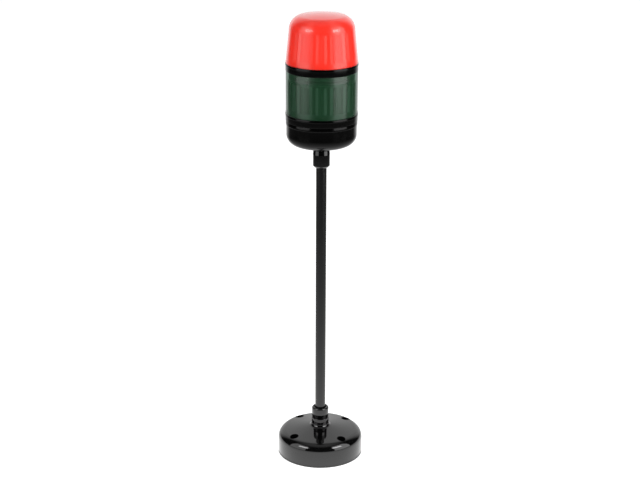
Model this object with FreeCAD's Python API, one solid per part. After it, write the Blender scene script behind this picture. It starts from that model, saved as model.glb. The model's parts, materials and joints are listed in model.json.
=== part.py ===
"""Stack light on a pole: foot, pole, base housing and two bayonet light modules.

Millimetres, +Z up. The origin is the centre of the foot's underside, on the pole's axis.
Each piece is one solid (or a group of like solids) and is written to parts/NODE.step.
"""
import FreeCAD
import Part
import math
import os

V = FreeCAD.Vector
UP = V(0, 0, 1)
ORIGIN = V(0, 0, 0)

# ---- Named clearances -------------------------------------------------------------------
SLIP = 0.1              # radial, between pieces that are pushed together
RUN = 0.3               # between pieces that turn past each other
SEAM = 0.2              # axial, between a turning module and what carries it

EDGE = 0.4              # chamfer on the small moulded rims

# ---- Foot -------------------------------------------------------------------------------
gasket_thickness = 2.4
gasket_width = 16.0
gasket_inset = 0.2
foot_radius = 43.7
foot_wall = 3.0
foot_draft = 0.3
foot_side_height = 13.6
foot_shoulder_radius = 9.1
foot_cone_angle = 8.5
foot_rib_thickness = 2.2
foot_rib_clearance = 6.0
foot_web_radius = 11.0
foot_web_depth = 8.6            # from the cone down to the web's underside
foot_thread_web = 5.0           # from the web's underside up to the pole's shoulder
socket_floor_thickness = 4.0    # from the pole's shoulder up to the socket's floor
socket_radius = 8.85
socket_wall = 1.45
socket_rise = 8.8
socket_fillet = 3.6
fixing_edge_distance = 9.4
fixing_count = 4
fixing_first_angle = 45.0
fixing_hole_radius = 2.75
fixing_recess_radius = 4.4
fixing_floor = 6.6
fixing_boss_wall = 2.2

# ---- Pole and its fixings ---------------------------------------------------------------
pole_radius = 5.25
pole_wall = 1.0
pole_length = 304.32            # between the two shoulders
thread_radius = 5.0
washer_radius = 8.5
washer_thickness = 1.0
nut_across_flats = 14.0
nut_height = 3.5
thread_end = 1.5                # thread left standing past the nut

# ---- Sleeves round the pole -------------------------------------------------------------
sleeve_rim_recess = 3.0
sleeve_rim_radius = 6.5
sleeve_edge_radius = 1.6
lower_sleeve_height = 11.8
lower_sleeve_radius = 8.65
lower_sleeve_waist = 8.4
lower_sleeve_taper_height = 6.0
socket_seal_thickness = 1.2
upper_sleeve_height = 13.5
upper_sleeve_radius = 8.4
upper_sleeve_chamfer = 2.0
upper_flange_height = 4.7
upper_flange_radius = 8.5
upper_flange_top_radius = 8.1
upper_spigot_radius = 6.4
upper_spigot_height = 2.8
seal_thickness = 0.8
seal_squeeze_width = 1.0

# ---- Head: every turned piece of it takes its width from this ----------------------------
head_radius = 35.0

# ---- Base housing -----------------------------------------------------------------------
housing_inset = 0.5             # the wall below the rim stands this far inside the head's radius
housing_wall = 2.4
housing_height = 25.0
housing_edge_radius = 10.9
housing_underside_drop = 0.7
housing_rim_height = 3.8
neck_radius = 8.1
neck_top_radius = 7.6
neck_height = 3.8
neck_thread_web = 4.0           # from the pole's shoulder up to the housing's floor

# ---- Bayonet, the same on the housing and on every module --------------------------------
bayonet_count = 3
bayonet_wall = 2.9
ledge_depth = 1.5
ledge_thickness = 2.0
ledge_below_rim = 3.9
entry_span = 20.0
lug_span = 14.0
lug_thickness = 2.0
twist_angle = 22.0
stop_span = 4.0
stop_margin = 1.2
skirt_wall = 2.0
skirt_foot = 0.2

# ---- Light modules ----------------------------------------------------------------------
ring_height = 7.5
ring_proud = 0.25
ring_lip = 0.2
ring_lip_height = 2.4
module_floor_height = 1.8
module_floor_thickness = 2.5
spigot_height = 4.0
spigot_wall = 1.6
seal_land_height = 3.4
seal_groove_lip = 0.8
module_seal_margin = 0.15
lens_wall = 2.0
lens_height = 41.9
lens_foot_bead = 0.25
lens_foot_bead_height = 1.6
prism_count = 36
prism_depth = 0.8
prism_margin = 5.0
dome_height = 47.5
dome_taper = 3.0                # less radius at the shoulder than at the foot
dome_shoulder_radius = 14.0
dome_shoulder_angle = 72.0
dome_crown_rise = 2.0

# ---- Inside a light module --------------------------------------------------------------
board_inset = 5.3               # inside the ring's spigot
board_thickness = 1.6
led_post_across_flats = 13.0
led_post_bore_radius = 4.6
led_post_height = 37.5
led_size = 5.0
led_thickness = 1.4
led_rows = 3
led_pitch = 8.0
led_first_height = 10.0
pin_radius = 0.95
pin_gap = RUN
contact_inset = 8.5             # the outer track's middle, inside the block's edge
contact_share = (3, 4, 5)       # the tracks' radii go as these
contact_angles = (90.0, 210.0, 330.0)
track_width = 2.0
track_thickness = 0.4
track_below_rim = 4.7
top_plate_margin = 1.0          # outside the outer track
top_plate_thickness = 2.0
bus_rod_radius = 0.9

# ---- Terminal block ---------------------------------------------------------------------
block_inset = 3.8               # inside the skirt that turns round it
block_thickness = 5.0
block_hole_radius = 5.5
post_radius = 3.2
post_inset = 3.9                # the posts' circle, inside the block's edge
post_angles = (30.0, 150.0, 270.0)
block_screw_radius = 1.25
block_screw_length = 9.0
block_screw_head_radius = 2.5
block_screw_head_height = 1.9
clamp_inset = 4.9
clamp_length = 6.0
clamp_width = 7.0
clamp_height = 6.0
clamp_wire_radius = 1.6
clamp_screw_radius = 1.5
clamp_screw_length = 6.5
clamp_screw_head_radius = 2.4
clamp_screw_head_height = 1.8
screw_slot_width = 0.8
screw_slot_depth = 0.8

# ---- Heights that follow from the sizes above -------------------------------------------
nut_radius = nut_across_flats / math.sqrt(3)
fixing_circle_radius = foot_radius - fixing_edge_distance
housing_radius = head_radius - housing_inset
bayonet_bore_radius = head_radius - bayonet_wall
ring_radius = head_radius + ring_proud
dome_top_radius = head_radius - dome_taper
pole_bore_radius = pole_radius - pole_wall
pole_clear_radius = pole_radius + SLIP
thread_clear_radius = thread_radius + SLIP

foot_cone_slope = math.tan(math.radians(foot_cone_angle))
foot_side_top = gasket_thickness + foot_side_height
foot_arc_radius = foot_radius - foot_draft - foot_shoulder_radius


def foot_cone_height(radius, inset=0.0):
    """Height of the foot's conical top at a radius, or of the roof that lies inset below it."""
    angle = math.radians(foot_cone_angle)
    start = foot_side_top + (foot_shoulder_radius - inset) / math.cos(angle)
    return start + (foot_arc_radius - radius) * foot_cone_slope


socket_top = foot_cone_height(socket_radius) + socket_rise
web_bottom = foot_cone_height(foot_web_radius) - foot_web_depth
lower_shoulder = web_bottom + foot_thread_web
upper_shoulder = lower_shoulder + pole_length
socket_floor = lower_shoulder + socket_floor_thickness
socket_bore_radius = socket_radius - socket_wall
lower_sleeve_bottom = socket_floor + socket_seal_thickness

neck_bottom = upper_shoulder - upper_spigot_height - SLIP
upper_sleeve_top = neck_bottom - seal_thickness
upper_flange_bottom = upper_sleeve_top - upper_flange_height
upper_sleeve_bottom = upper_flange_bottom - upper_sleeve_height
housing_bottom = neck_bottom + neck_height
housing_floor_top = upper_shoulder + neck_thread_web
housing_rim = housing_bottom + housing_height

ledge_radius = bayonet_bore_radius - ledge_depth
skirt_radius = ledge_radius - RUN
skirt_inner_radius = skirt_radius - skirt_wall
lug_radius = bayonet_bore_radius - RUN
ledge_bottom = -ledge_below_rim - ledge_thickness
lug_top = ledge_bottom - RUN
lug_bottom = lug_top - lug_thickness
skirt_bottom = lug_bottom - skirt_foot
spigot_radius = head_radius - lens_wall - SLIP
spigot_inner_radius = spigot_radius - spigot_wall
board_radius = spigot_inner_radius - board_inset
block_radius = skirt_inner_radius - block_inset
post_circle_radius = block_radius - post_inset
clamp_circle_radius = block_radius - clamp_inset
contact_pitch = (block_radius - contact_inset) / contact_share[-1]
contact_radii = [share * contact_pitch for share in contact_share]
top_plate_radius = contact_radii[-1] + track_width / 2 + top_plate_margin

green_rim = housing_rim + SEAM
lens_bottom = green_rim + ring_height
lens_rim = lens_bottom + lens_height
red_rim = lens_rim + SEAM
dome_bottom = red_rim + ring_height
dome_top = dome_bottom + dome_height

board_top = module_floor_height + module_floor_thickness + board_thickness
green_post_height = lens_rim - track_below_rim - track_thickness - top_plate_thickness - green_rim - board_top
block_top = housing_rim - track_below_rim - track_thickness
block_bottom = block_top - block_thickness


# ---- Drawing helpers --------------------------------------------------------------------
def arc(centre_r, centre_z, radius, start, end):
    """A round stretch of an outline, as its first, middle and last point (r, z)."""
    angles = [math.radians(a) for a in (start, (start + end) / 2, end)]
    return [(centre_r + radius * math.cos(a), centre_z + radius * math.sin(a)) for a in angles]


def outline_edges(items, height=0.0):
    """Closed edges in the XZ plane through points (r, z) and arcs, in the order given."""
    edges = []
    place = [V(p[0], 0, p[1] + height) for item in items for p in ([item] if isinstance(item, tuple) else item)]
    index = 0
    last = place[-1]
    for item in items:
        first = place[index]
        if (first - last).Length > 1e-6:
            edges.append(Part.LineSegment(last, first).toShape())
        if isinstance(item, list):
            edges.append(Part.Arc(first, place[index + 1], place[index + 2]).toShape())
            index += 2
        last = place[index]
        index += 1
    return edges


def revolved(items, height=0.0, start=0.0, span=360.0):
    """Turn a closed outline (r, z) about Z, lifted by height, over a span of degrees."""
    face = Part.Face(Part.Wire(outline_edges(items, height)))
    face.rotate(ORIGIN, UP, start)
    return face.revolve(ORIGIN, UP, span)


def ring(inner, outer, bottom, top):
    """A plain round ring, or a disc where the inner radius is 0."""
    return revolved([(inner, bottom), (outer, bottom), (outer, top), (inner, top)])


def rod(radius, bottom, top, distance=0.0, angle=0.0):
    """An upright cylinder at a distance from the axis."""
    return Part.makeCylinder(radius, top - bottom, polar(distance, angle, bottom))


def polar(distance, angle, height=0.0):
    """The point at a distance and an angle round the axis."""
    turn = math.radians(angle)
    return V(distance * math.cos(turn), distance * math.sin(turn), height)


def turned(shape, angle):
    """The shape turned about the axis."""
    copy = shape.copy()
    copy.rotate(ORIGIN, UP, angle)
    return copy


def prism(sides, corner_radius, bottom, top, first_angle=0.0):
    """An upright prism with a regular outline."""
    corners = [polar(corner_radius, first_angle + 360.0 * i / sides, bottom) for i in range(sides + 1)]
    return Part.Face(Part.makePolygon(corners)).extrude(V(0, 0, top - bottom))


def group(shapes):
    """Like pieces kept as separate solids in one node."""
    return Part.makeCompound(shapes)


def spread(count, first=0.0):
    """Even angles round the axis."""
    return [first + 360.0 * i / count for i in range(count)]


# ---- Foot -------------------------------------------------------------------------------
def foot_gasket():
    """Flat seal with the same four holes as the foot."""
    outer = foot_radius - gasket_inset
    seal = ring(outer - gasket_width, outer, 0.0, gasket_thickness)
    return seal.cut(group(fixing_holes(0.0, gasket_thickness)))


def fixing_holes(bottom, top):
    """The four clearance holes for the screws that hold the foot down."""
    angles = spread(fixing_count, fixing_first_angle)
    return [rod(fixing_hole_radius, bottom, top, fixing_circle_radius, a) for a in angles]


def foot_outside():
    """Outer form: drafted side, round shoulder, conical top and the socket with its fillet."""
    slope = math.radians(foot_cone_angle)
    fillet_r = socket_radius + socket_fillet
    fillet_z = foot_cone_height(fillet_r) + socket_fillet / math.cos(slope)
    return revolved([
        (0, gasket_thickness),
        (foot_radius, gasket_thickness),
        arc(foot_arc_radius, foot_side_top, foot_shoulder_radius, 0, 90 - foot_cone_angle),
        arc(fillet_r, fillet_z, socket_fillet, 270 - foot_cone_angle, 180),
        (socket_radius, socket_top - EDGE),
        (socket_radius - EDGE, socket_top),
        (0, socket_top),
    ])


def foot_hollow():
    """The open underside: one shell thickness inside the outer form, round the centre web."""
    inner_radius = foot_radius - foot_draft - foot_wall
    inner_shoulder = foot_shoulder_radius - foot_wall
    space = revolved([
        (0, gasket_thickness - 1),
        (inner_radius, gasket_thickness - 1),
        arc(foot_arc_radius, foot_side_top, inner_shoulder, 0, 90 - foot_cone_angle),
        (foot_web_radius, foot_cone_height(foot_web_radius, foot_wall)),
        (foot_web_radius, web_bottom),
        (0, web_bottom),
    ])
    return space.cut(group(foot_ribs() + foot_bosses()))


def foot_ribs():
    """Ribs from the centre web to each screw boss."""
    start = foot_web_radius - 0.5
    length = fixing_circle_radius - start
    bottom = gasket_thickness + foot_rib_clearance
    plate = Part.makeBox(length, foot_rib_thickness, socket_top - bottom, V(start, -foot_rib_thickness / 2, bottom))
    return [turned(plate, a) for a in spread(fixing_count, fixing_first_angle)]


def foot_bosses():
    """Round bosses that carry the four screws down to the gasket."""
    radius = fixing_recess_radius + fixing_boss_wall
    angles = spread(fixing_count, fixing_first_angle)
    return [rod(radius, gasket_thickness - 1, socket_top, fixing_circle_radius, a) for a in angles]


def foot():
    """One moulding: shell, ribs, bosses, screw recesses, centre web and socket."""
    floor = gasket_thickness + fixing_floor
    recesses = [rod(fixing_recess_radius, floor, socket_top, fixing_circle_radius, a)
                for a in spread(fixing_count, fixing_first_angle)]
    bores = [
        ring(0, socket_bore_radius, socket_floor, socket_top + 1),
        ring(0, pole_clear_radius, lower_shoulder, socket_floor + 1),
        ring(0, thread_clear_radius, web_bottom - 1, lower_shoulder + 1),
    ]
    body = foot_outside().cut(foot_hollow())
    return body.cut(group(recesses)).cut(group(fixing_holes(0, floor + 1))).cut(bores)


# ---- Pole and its fixings ---------------------------------------------------------------
def pole():
    """Tube with a shoulder and a reduced, threaded length at each end, drawn plain."""
    fixing = washer_thickness + nut_height + thread_end
    lower_end = web_bottom - fixing
    upper_end = housing_floor_top + fixing
    return revolved([
        (pole_bore_radius, lower_end),
        (thread_radius, lower_end),
        (thread_radius, lower_shoulder),
        (pole_radius, lower_shoulder),
        (pole_radius, upper_shoulder),
        (thread_radius, upper_shoulder),
        (thread_radius, upper_end),
        (pole_bore_radius, upper_end),
    ])


def pole_washer(bottom):
    """Flat washer for the pole's thread."""
    return ring(thread_clear_radius, washer_radius, bottom, bottom + washer_thickness)


def pole_nut(bottom):
    """Thin hexagon nut for the pole's thread."""
    top = bottom + nut_height
    return prism(6, nut_radius, bottom, top).cut(ring(0, thread_clear_radius, bottom - 1, top + 1))


# ---- Sleeves ----------------------------------------------------------------------------
def lower_pole_sleeve():
    """Tapered sleeve, widest at its rounded rim, with a spigot down in the foot's socket."""
    spigot_r = socket_bore_radius - SLIP
    top = socket_top + lower_sleeve_height
    edge = sleeve_edge_radius
    return revolved([
        (pole_clear_radius, lower_sleeve_bottom),
        (spigot_r, lower_sleeve_bottom),
        (spigot_r, socket_top),
        (lower_sleeve_waist, socket_top),
        (lower_sleeve_radius, socket_top + lower_sleeve_taper_height),
        arc(lower_sleeve_radius - edge, top - edge, edge, 0, 90),
        (sleeve_rim_radius, top),
        (sleeve_rim_radius, top - sleeve_rim_recess),
        (pole_clear_radius, top - sleeve_rim_recess),
    ])


def lower_sleeve_seal():
    """Seal between the socket's floor and the lower sleeve's spigot."""
    return ring(pole_clear_radius, socket_bore_radius - SLIP, socket_floor, lower_sleeve_bottom)


def upper_pole_sleeve():
    """Straight sleeve with a chamfered foot, a slightly tapered flange and a spigot in the neck."""
    bottom = upper_sleeve_bottom
    top = upper_sleeve_top
    return revolved([
        (sleeve_rim_radius, bottom),
        (upper_sleeve_radius, bottom + upper_sleeve_chamfer),
        (upper_sleeve_radius, upper_flange_bottom),
        (upper_flange_radius, upper_flange_bottom),
        (upper_flange_top_radius, top),
        (upper_spigot_radius, top),
        (upper_spigot_radius, neck_bottom + upper_spigot_height),
        (pole_clear_radius, neck_bottom + upper_spigot_height),
        (pole_clear_radius, bottom + sleeve_rim_recess),
        (sleeve_rim_radius, bottom + sleeve_rim_recess),
    ])


def neck_seal():
    """Thin seal round the upper sleeve's spigot, under the housing's neck."""
    inner = upper_spigot_radius + SLIP
    return ring(inner, inner + seal_squeeze_width, upper_sleeve_top, neck_bottom)


# ---- Bayonet ----------------------------------------------------------------------------
def sector(inner, outer, bottom, top, start, span):
    """Part of a ring over a span of degrees."""
    return revolved([(inner, bottom), (outer, bottom), (outer, top), (inner, top)], 0.0, start, span)


def bayonet_ledges(rim):
    """Inward ledges below a rim, with a stop at each end of the lugs' travel.

    Angles count from the middle of an entry gap. A locked lug stands twist_angle before it.
    """
    bottom = rim + ledge_bottom
    outer = bayonet_bore_radius + 0.6
    ledge_span = 360.0 / bayonet_count - entry_span
    locked_edge = -twist_angle - lug_span / 2 - stop_margin
    open_edge = lug_span / 2 + stop_margin
    pieces = []
    for gap in spread(bayonet_count):
        pieces.append(sector(ledge_radius, outer, bottom, bottom + ledge_thickness, gap + entry_span / 2, ledge_span))
        for start in (locked_edge - stop_span, open_edge):
            stop_top = bottom + ledge_thickness
            pieces.append(sector(ledge_radius, outer, rim + lug_bottom, stop_top, gap + start, stop_span))
    return pieces


def bayonet_lugs(rim):
    """Outward lugs at the foot of a module's skirt, in their locked place."""
    inner = skirt_inner_radius + skirt_wall / 2
    start = -twist_angle - lug_span / 2
    return [sector(inner, lug_radius, rim + lug_bottom, rim + lug_top, gap + start, lug_span)
            for gap in spread(bayonet_count)]


# ---- Base housing -----------------------------------------------------------------------
def base_housing():
    """Cup with a round lower edge, a shallow conical underside, a neck and the bayonet socket."""
    edge = housing_edge_radius
    edge_r = housing_radius - edge
    underside = housing_bottom + housing_underside_drop
    rim_bottom = housing_rim - housing_rim_height
    outside = revolved([
        (0, neck_bottom),
        (neck_radius, neck_bottom),
        (neck_top_radius, housing_bottom),
        arc(edge_r, underside + edge, edge, 270, 360),
        (housing_radius, rim_bottom),
        (head_radius, rim_bottom + EDGE),
        (head_radius, housing_rim - EDGE),
        (head_radius - EDGE, housing_rim),
        (0, housing_rim),
    ])
    inner_edge = edge - housing_wall
    inside = revolved([
        (0, housing_floor_top),
        arc(edge_r, housing_floor_top + inner_edge, inner_edge, 270, 360),
        (bayonet_bore_radius, housing_rim + 1),
        (0, housing_rim + 1),
    ])
    post_foot = housing_floor_top - housing_wall / 2
    posts = [rod(post_radius, post_foot, block_bottom, post_circle_radius, a) for a in post_angles]
    holes = [rod(block_screw_radius, block_bottom - block_screw_length, block_bottom, post_circle_radius, a)
             for a in post_angles]
    shell = outside.cut(inside).fuse(posts + bayonet_ledges(housing_rim))
    bores = [
        ring(0, upper_spigot_radius + SLIP, neck_bottom - 1, upper_shoulder),
        ring(0, thread_clear_radius, upper_shoulder - 1, housing_floor_top + 1),
    ]
    return shell.cut(bores).cut(group(holes))


# ---- Terminal block ---------------------------------------------------------------------
def terminal_block():
    """Round insulating block on the housing's posts, with the clamps under it."""
    block = ring(block_hole_radius, block_radius, block_bottom, block_top)
    seat = block_top - block_screw_head_height - SLIP
    cuts = []
    for angle in post_angles:
        cuts.append(rod(block_screw_radius + SLIP, block_bottom - 1, block_top, post_circle_radius, angle))
        cuts.append(rod(block_screw_head_radius + SLIP, seat, block_top + 1, post_circle_radius, angle))
    for angle in contact_angles:
        cuts.append(rod(clamp_screw_radius + SLIP, block_bottom - 1, block_top, clamp_circle_radius, angle))
        cuts.append(rod(clamp_screw_head_radius + SLIP, seat, block_top + 1, clamp_circle_radius, angle))
    return block.cut(group(cuts))


def slotted_screw(radius, length, cap_radius, cap_height, seat, distance, angle):
    """Slotted cheese-head screw whose head stands on a seat."""
    top = seat + cap_height
    blank = rod(radius, seat - length, seat, distance, angle)
    cap = rod(cap_radius, seat, top, distance, angle)
    slot = Part.makeBox(3 * cap_radius, screw_slot_width, screw_slot_depth + 1,
                        V(distance - 1.5 * cap_radius, -screw_slot_width / 2, top - screw_slot_depth))
    return blank.fuse(cap).cut(turned(slot, angle)).removeSplitter()


def terminal_block_screws():
    """Screws that hold the block on the housing's posts."""
    seat = block_top - block_screw_head_height - SLIP
    return group([slotted_screw(block_screw_radius - SLIP, block_screw_length, block_screw_head_radius,
                                block_screw_head_height, seat, post_circle_radius, a) for a in post_angles])


def terminal_clamps():
    """Brass clamps for the supply wires, with a cross hole for the wire and one for the screw."""
    shapes = []
    for angle in contact_angles:
        body = Part.makeBox(clamp_length, clamp_width, clamp_height,
                            V(clamp_circle_radius - clamp_length / 2, -clamp_width / 2, block_bottom - clamp_height))
        wire_height = block_bottom - clamp_height + clamp_wire_radius + 0.9
        wire = Part.makeCylinder(clamp_wire_radius, 2 * clamp_length,
                                 V(clamp_circle_radius - clamp_length, 0, wire_height), V(1, 0, 0))
        screw = rod(clamp_screw_radius + SLIP, wire_height, block_bottom + 1, clamp_circle_radius)
        shapes.append(turned(body.cut(wire).cut(screw), angle))
    return group(shapes)


def terminal_clamp_screws():
    """Screws that press the wires in the clamps, reached from above."""
    seat = block_top - block_screw_head_height - SLIP
    return group([slotted_screw(clamp_screw_radius, clamp_screw_length, clamp_screw_head_radius,
                                clamp_screw_head_height, seat, clamp_circle_radius, a) for a in contact_angles])


def contact_tracks(rim):
    """Concentric brass tracks, one for each contact pin of the module above."""
    top = rim - track_below_rim
    half = track_width / 2
    return group([ring(r - half, r + half, top - track_thickness, top) for r in contact_radii])


# ---- Light modules ----------------------------------------------------------------------
def module_base(rim):
    """Connecting ring with floor, bayonet skirt, seal groove and the spigot for the lens."""
    land_radius = bayonet_bore_radius - 2 * module_seal_margin
    groove_bottom = -seal_land_height + seal_groove_lip
    floor_bottom = module_floor_height
    floor_top = floor_bottom + module_floor_thickness
    body = revolved([
        (0, floor_bottom),
        (skirt_inner_radius, floor_bottom),
        (skirt_inner_radius, skirt_bottom),
        (skirt_radius, skirt_bottom),
        (skirt_radius, -seal_land_height),
        (land_radius, -seal_land_height),
        (land_radius, groove_bottom),
        (skirt_radius, groove_bottom),
        (skirt_radius, -seal_groove_lip),
        (land_radius, -seal_groove_lip),
        (land_radius, 0),
        (ring_radius - EDGE, 0),
        (ring_radius, EDGE),
        (ring_radius, ring_height - ring_lip_height),
        (ring_radius + ring_lip, ring_height - ring_lip_height + ring_lip),
        (ring_radius + ring_lip, ring_height - EDGE),
        (ring_radius + ring_lip - EDGE, ring_height),
        (spigot_radius, ring_height),
        (spigot_radius, ring_height + spigot_height),
        (spigot_inner_radius, ring_height + spigot_height),
        (spigot_inner_radius, floor_top),
        (0, floor_top),
    ], rim)
    holes = [rod(pin_radius + SLIP, rim + floor_bottom - 1, rim + floor_top + 1, r, a)
             for r, a in zip(contact_radii, contact_angles)]
    return body.fuse(bayonet_lugs(rim)).cut(group(holes))


def module_seal(rim):
    """Square-section seal in the skirt's groove."""
    outer = bayonet_bore_radius - module_seal_margin
    return ring(skirt_radius, outer, rim - seal_land_height + seal_groove_lip, rim - seal_groove_lip)


def prism_bore(bottom, top):
    """Inner form of the lens wall: upright prisms, like the teeth of a fine internal gear."""
    wide = head_radius - lens_wall
    corners = []
    for angle in spread(prism_count):
        corners.append(polar(wide, angle, bottom))
        corners.append(polar(wide - prism_depth, angle + 180.0 / prism_count, bottom))
    corners.append(corners[0])
    return Part.Face(Part.makePolygon(corners)).extrude(V(0, 0, top - bottom))


def lens_foot():
    """Outline points of a lens's lower outer edge, a small bead."""
    bead = head_radius + lens_foot_bead
    return [
        (bead - EDGE, 0),
        (bead, EDGE),
        (bead, lens_foot_bead_height - EDGE),
        (head_radius, lens_foot_bead_height),
    ]


def green_lens():
    """Straight lens: bead at the foot, prisms along the wall, bayonet socket at the top."""
    inner = head_radius - lens_wall
    socket_length = -skirt_bottom + 1.0
    outside = revolved([(0, 0)] + lens_foot() + [
        (head_radius, lens_height - EDGE),
        (head_radius - EDGE, lens_height),
        (0, lens_height),
    ], lens_bottom)
    prism_bottom = lens_bottom + prism_margin
    prism_top = lens_rim - socket_length - 1.0
    bores = [
        ring(0, inner, lens_bottom - 1, prism_bottom),
        prism_bore(prism_bottom, prism_top),
        ring(0, inner - prism_depth, prism_top, lens_rim - socket_length),
        ring(0, bayonet_bore_radius, lens_rim - socket_length, lens_rim + 1),
    ]
    return outside.cut(bores).fuse(bayonet_ledges(lens_rim)).removeSplitter()


def dome_profile(inset):
    """Outline of the dome from its foot to the crown, moved in by inset."""
    shoulder = dome_shoulder_radius - inset
    turn = math.radians(dome_shoulder_angle)
    centre_r = dome_top_radius - dome_shoulder_radius
    centre_z = dome_height - dome_crown_rise - dome_shoulder_radius * math.sin(turn)
    edge = centre_r + shoulder * math.cos(turn)
    rise = dome_crown_rise
    crown_z = dome_height - inset
    crown_radius = (edge ** 2 + rise ** 2) / (2 * rise)
    half = math.degrees(math.asin(edge / crown_radius))
    return [
        arc(centre_r, centre_z, shoulder, 0, dome_shoulder_angle),
        arc(0, crown_z - crown_radius, crown_radius, 90 - half, 90),
    ]


def red_lens():
    """Dome lens: tapered side, round shoulder and a slightly raised crown, prisms in the wall."""
    outside = revolved([(0, 0)] + lens_foot() + dome_profile(0.0), dome_bottom)
    inner = head_radius - lens_wall
    space = revolved([(0, -1), (inner, -1), (inner, prism_margin)] + dome_profile(lens_wall), dome_bottom)
    return outside.cut(space).fuse(dome_prisms()).removeSplitter()


def dome_prisms():
    """Upright prism ribs on the inside of the dome's tapered side."""
    low = prism_margin
    high = dome_height - dome_crown_rise - dome_shoulder_radius
    taper = (head_radius - dome_top_radius) / high
    ribs = []
    for angle in spread(prism_count):
        sections = []
        for height in (low, high):
            wall = head_radius - lens_wall - taper * height
            half = wall * math.tan(math.radians(90.0 / prism_count))
            corners = [V(wall + 0.5, -half, height), V(wall - prism_depth, 0, height), V(wall + 0.5, half, height)]
            place = [corner + V(0, 0, dome_bottom) for corner in corners]
            sections.append(Part.makePolygon(place + place[:1]))
        ribs.append(turned(Part.makeLoft(sections, True), angle))
    return ribs


def board(rim):
    """Round circuit board on the module's floor."""
    top = rim + board_top
    return ring(0, board_radius, top - board_thickness, top)


def led_post(rim, height):
    """Hexagonal post that carries the LEDs."""
    bottom = rim + board_top
    corner = led_post_across_flats / math.sqrt(3)
    post = prism(6, corner, bottom, bottom + height)
    return post.cut(ring(0, led_post_bore_radius, bottom - 1, bottom + height - 2))


def leds(rim):
    """Square LEDs in rows on every face of the post."""
    distance = led_post_across_flats / 2
    first = rim + board_top + led_first_height
    chips = []
    for row in range(led_rows):
        corner = V(distance, -led_size / 2, first + row * led_pitch)
        chip = Part.makeBox(led_thickness, led_size, led_size, corner)
        chips += [turned(chip, a) for a in spread(6, 30.0)]
    return group(chips)


def contact_pins(rim):
    """Pins from the board down to just above the tracks, one for each track."""
    tip = rim - SEAM - track_below_rim + pin_gap
    top = rim + module_floor_height + module_floor_thickness
    return group([rod(pin_radius, tip, top, r, a) for r, a in zip(contact_radii, contact_angles)])


def bus_rods(rim, height):
    """Rods that take the supply on from the board to the tracks at the module's top."""
    bottom = rim + board_top
    return group([rod(bus_rod_radius, bottom, bottom + height, r, a)
                  for r, a in zip(contact_radii, contact_angles)])


def top_plate():
    """Round plate on the green module's post, under the red module's contacts."""
    top = lens_rim - track_below_rim - track_thickness
    return ring(0, top_plate_radius, top - top_plate_thickness, top)


# ---- The whole part ---------------------------------------------------------------------
NODES = {
    "foot_gasket": foot_gasket(),
    "foot": foot(),
    "pole": pole(),
    "lower_pole_washer": pole_washer(web_bottom - washer_thickness),
    "lower_pole_nut": pole_nut(web_bottom - washer_thickness - nut_height),
    "lower_sleeve_seal": lower_sleeve_seal(),
    "lower_pole_sleeve": lower_pole_sleeve(),
    "upper_pole_sleeve": upper_pole_sleeve(),
    "neck_seal": neck_seal(),
    "upper_pole_washer": pole_washer(housing_floor_top),
    "upper_pole_nut": pole_nut(housing_floor_top + washer_thickness),
    "base_housing": base_housing(),
    "terminal_block": terminal_block(),
    "terminal_block_screws": terminal_block_screws(),
    "terminal_clamps": terminal_clamps(),
    "terminal_clamp_screws": terminal_clamp_screws(),
    "terminal_tracks": contact_tracks(housing_rim),
    "green_module_base": module_base(green_rim),
    "green_module_seal": module_seal(green_rim),
    "green_lens": green_lens(),
    "green_board": board(green_rim),
    "green_led_post": led_post(green_rim, green_post_height),
    "green_leds": leds(green_rim),
    "green_contact_pins": contact_pins(green_rim),
    "green_bus_rods": bus_rods(green_rim, green_post_height),
    "green_top_plate": top_plate(),
    "green_top_tracks": contact_tracks(lens_rim),
    "red_module_base": module_base(red_rim),
    "red_module_seal": module_seal(red_rim),
    "red_lens": red_lens(),
    "red_board": board(red_rim),
    "red_led_post": led_post(red_rim, led_post_height),
    "red_leds": leds(red_rim),
    "red_contact_pins": contact_pins(red_rim),
}

os.makedirs("parts", exist_ok=True)
for name, shape in NODES.items():
    shape.exportStep(os.path.join("parts", name + ".step"))
    low, high = shape.BoundBox.ZMin, shape.BoundBox.ZMax
    print(f"{name:24s} solids {len(shape.Solids)}  valid {shape.isValid()}  z {low:7.2f} to {high:7.2f}")
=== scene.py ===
"""Looks of the stack light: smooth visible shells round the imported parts, materials, studio and camera.

Everything is in metres in the row's frame. MM turns the sizes below, written in millimetres, into metres.
"""

import json
import math

import bmesh
import bpy
from mathutils import Matrix, Vector


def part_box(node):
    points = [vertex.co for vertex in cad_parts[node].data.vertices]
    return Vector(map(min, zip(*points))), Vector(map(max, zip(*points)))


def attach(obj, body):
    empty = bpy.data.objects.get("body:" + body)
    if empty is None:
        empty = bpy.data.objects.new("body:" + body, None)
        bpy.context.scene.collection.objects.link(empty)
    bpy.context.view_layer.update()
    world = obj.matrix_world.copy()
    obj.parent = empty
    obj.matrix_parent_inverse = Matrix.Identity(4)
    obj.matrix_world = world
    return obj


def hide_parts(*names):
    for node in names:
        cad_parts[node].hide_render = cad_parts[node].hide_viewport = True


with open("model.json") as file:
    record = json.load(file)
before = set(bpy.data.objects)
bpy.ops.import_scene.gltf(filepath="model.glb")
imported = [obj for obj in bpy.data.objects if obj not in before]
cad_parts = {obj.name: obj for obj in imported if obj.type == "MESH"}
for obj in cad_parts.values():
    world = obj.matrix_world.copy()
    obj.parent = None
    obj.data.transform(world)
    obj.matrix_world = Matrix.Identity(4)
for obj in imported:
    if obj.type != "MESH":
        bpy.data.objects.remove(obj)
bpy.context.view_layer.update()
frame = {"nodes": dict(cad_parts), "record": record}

MM = 0.001
NODES = frame["nodes"]

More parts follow.
